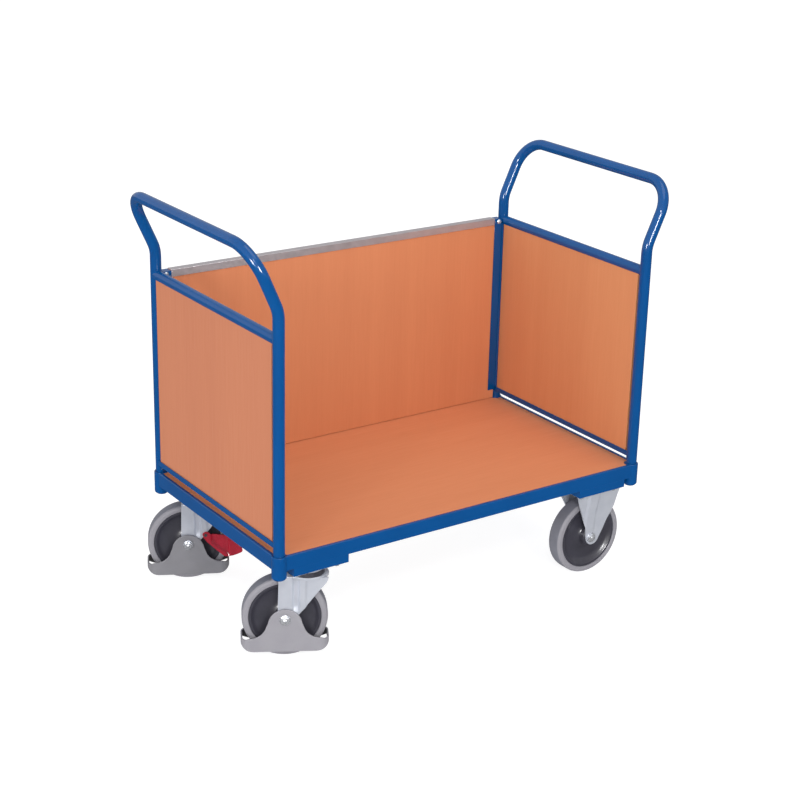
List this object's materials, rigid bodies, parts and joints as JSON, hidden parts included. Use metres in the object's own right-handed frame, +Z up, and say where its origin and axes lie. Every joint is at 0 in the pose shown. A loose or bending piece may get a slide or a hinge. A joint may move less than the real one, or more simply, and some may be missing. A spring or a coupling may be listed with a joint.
{
  "type": "platform truck",
  "caption": "Flatbed truck with a timber load deck, boarded ends and back wall, bent tube push handles, two swivel and two fixed castors, and a foot brake.",
  "frame": {"origin": "on the floor under the middle of the object's bounding box", "axes": "+X along the load deck towards the fixed castors, +Y across it towards the back wall, +Z up"},
  "size_m": [1.199, 0.6368, 1.0205],
  "materials": {
    "blue_steel": "gloss",
    "board": "satin",
    "zinc": "satin",
    "trim": "satin",
    "tyre": "matte",
    "rim": "matte",
    "guard": "matte",
    "pedal": "gloss",
    "shoe": "matte",
    "race": "matte"
  },
  "bodies": {
    "truck": {"side_rails": "blue_steel", "end_rails": "blue_steel", "corner_sockets": "blue_steel", "castor_members": "blue_steel", "deck_board": "board", "deck_screws": "zinc", "left_end_tube": "blue_steel", "right_end_tube": "blue_steel", "left_crossbar": "blue_steel", "right_crossbar": "blue_steel", "end_channels": "blue_steel", "left_board": "board", "right_board": "board", "back_board": "board", "back_uprights": "blue_steel", "back_trim": "rim", "wall_bolts": "zinc", "wall_nuts": "zinc", "castor_bolts": "zinc", "castor_nuts": "zinc", "swivel_plates": "zinc", "kingpins": "zinc", "fixed_brackets": "zinc", "fixed_axles": "zinc", "fixed_axle_nuts": "zinc", "fixed_sleeves": "zinc"},
    "near_castor": {"near_ball_race": "race", "near_fork": "zinc", "near_guard": "guard", "near_axle": "zinc", "near_axle_nut": "zinc", "near_sleeve": "zinc"},
    "far_castor": {"far_ball_race": "race", "far_fork": "zinc", "far_guard": "guard", "far_axle": "zinc", "far_axle_nut": "zinc", "far_sleeve": "zinc", "pedal_pins": "zinc"},
    "pedal": {"brake_pedal": "pedal", "brake_shoe": "shoe"},
    "near_swivel_wheel": {"near_swivel_rim": "rim", "near_swivel_tyre": "tyre"},
    "far_swivel_wheel": {"far_swivel_rim": "rim", "far_swivel_tyre": "tyre"},
    "near_fixed_wheel": {"near_fixed_rim": "rim", "near_fixed_tyre": "tyre"},
    "far_fixed_wheel": {"far_fixed_rim": "rim", "far_fixed_tyre": "tyre"}
  },
  "joints": [
    {"name": "near_swivel", "type": "hinge", "parent": "truck", "child": "near_castor", "pos_m": [-0.416, -0.2529, 0.22], "axis": [0, 0, 1], "continuous": true},
    {"name": "far_swivel", "type": "hinge", "parent": "truck", "child": "far_castor", "pos_m": [-0.416, 0.2231, 0.22], "axis": [0, 0, 1], "continuous": true},
    {"name": "near_swivel_roll", "type": "hinge", "parent": "near_castor", "child": "near_swivel_wheel", "pos_m": [-0.46192, -0.22745, 0.1], "axis": [0.4848, 0.8746, 0], "continuous": true},
    {"name": "far_swivel_roll", "type": "hinge", "parent": "far_castor", "child": "far_swivel_wheel", "pos_m": [-0.46278, 0.24693, 0.1], "axis": [0.454, 0.891, 0], "continuous": true},
    {"name": "near_fixed_roll", "type": "hinge", "parent": "truck", "child": "near_fixed_wheel", "pos_m": [0.416, -0.2529, 0.1], "axis": [0, 1, 0], "continuous": true},
    {"name": "far_fixed_roll", "type": "hinge", "parent": "truck", "child": "far_fixed_wheel", "pos_m": [0.416, 0.2231, 0.1], "axis": [0, 1, 0], "continuous": true},
    {"name": "brake", "type": "hinge", "parent": "far_castor", "child": "pedal", "pos_m": [-0.42357, 0.22696, 0.125], "axis": [0.454, 0.891, 0], "range_deg": [0, 10]}
  ]
}
